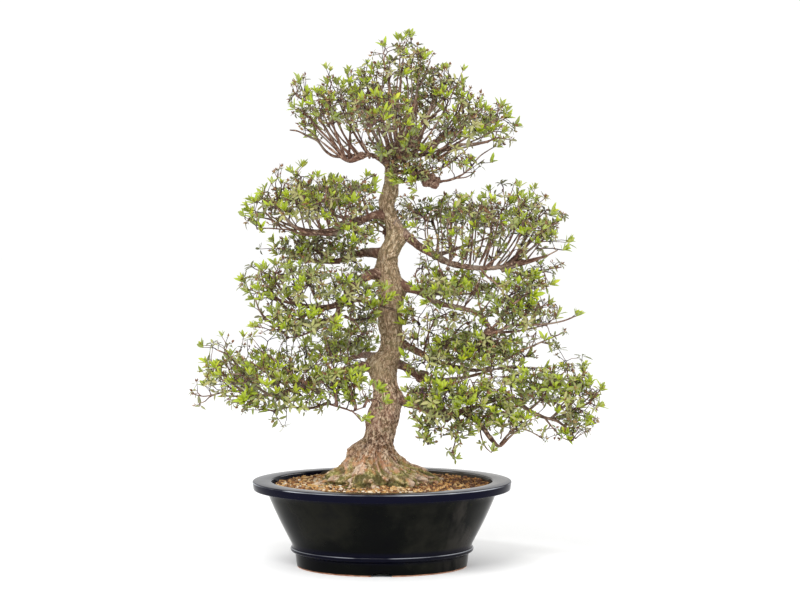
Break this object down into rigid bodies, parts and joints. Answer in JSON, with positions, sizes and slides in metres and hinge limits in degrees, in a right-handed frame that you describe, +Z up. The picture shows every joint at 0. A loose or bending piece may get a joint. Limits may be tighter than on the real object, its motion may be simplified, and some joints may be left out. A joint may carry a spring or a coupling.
{
  "type": "potted azalea bonsai tree",
  "caption": "Satsuki azalea bonsai with a flaring root base and layered masses of small leaves, growing in gritty soil in an oval glazed pot.",
  "frame": {"origin": "on the surface the pot stands on, under the middle of the whole model's bounding box", "axes": "+Z up the trunk, +X to the right and -Y towards the viewer as the picture shows the tree"},
  "size_m": [0.6624, 0.361, 0.866],
  "materials": {
    "glaze": "gloss",
    "soil": "matte",
    "bark": "matte",
    "leaf": "satin",
    "screen": "matte"
  },
  "bodies": {
    "root": {"drain_screen_left": "screen", "drain_screen_right": "screen", "pot": "glaze", "soil": "soil", "spray_back_left_1": "leaf", "spray_back_right_1": "leaf", "spray_back_right_2": "leaf", "spray_crown_back_1": "leaf", "spray_crown_back_2": "leaf", "spray_crown_front_1": "leaf", "spray_crown_front_2": "leaf", "spray_crown_inner_left_1": "leaf", "spray_crown_inner_left_2": "leaf", "spray_crown_left_1": "leaf", "spray_crown_left_2": "leaf", "spray_crown_left_3": "leaf", "spray_crown_low_1": "leaf", "spray_crown_right_1": "leaf", "spray_crown_right_2": "leaf", "spray_crown_right_3": "leaf", "spray_crown_top_1": "leaf", "spray_crown_top_2": "leaf", "spray_crown_upper_right_1": "leaf", "spray_crown_upper_right_2": "leaf", "spray_high_back_1": "leaf", "spray_high_left_1": "leaf", "spray_high_left_2": "leaf", "spray_high_left_3": "leaf", "spray_high_left_back_1": "leaf", "spray_high_right_1": "leaf", "spray_high_right_2": "leaf", "spray_high_right_3": "leaf", "spray_high_right_back_1": "leaf", "spray_high_right_back_2": "leaf", "spray_high_right_low_1": "leaf", "spray_low_left_1": "leaf", "spray_low_left_2": "leaf", "spray_low_left_3": "leaf", "spray_low_left_near_1": "leaf", "spray_low_mid_right_1": "leaf", "spray_low_mid_right_2": "leaf", "spray_low_mid_right_3": "leaf", "spray_low_right_far_1": "leaf", "spray_low_right_far_2": "leaf", "spray_low_right_far_3": "leaf", "spray_low_right_hook_1": "leaf", "spray_low_right_near_1": "leaf", "spray_low_right_near_2": "leaf", "spray_mid_left_1": "leaf", "spray_mid_left_2": "leaf", "spray_mid_left_3": "leaf", "spray_mid_left_high_1": "leaf", "spray_mid_left_high_2": "leaf", "spray_mid_left_low_1": "leaf", "spray_mid_right_1": "leaf", "spray_mid_right_2": "leaf", "spray_mid_right_back_1": "leaf", "spray_mid_right_near_1": "leaf", "trunk": "bark"}
  },
  "joints": []
}
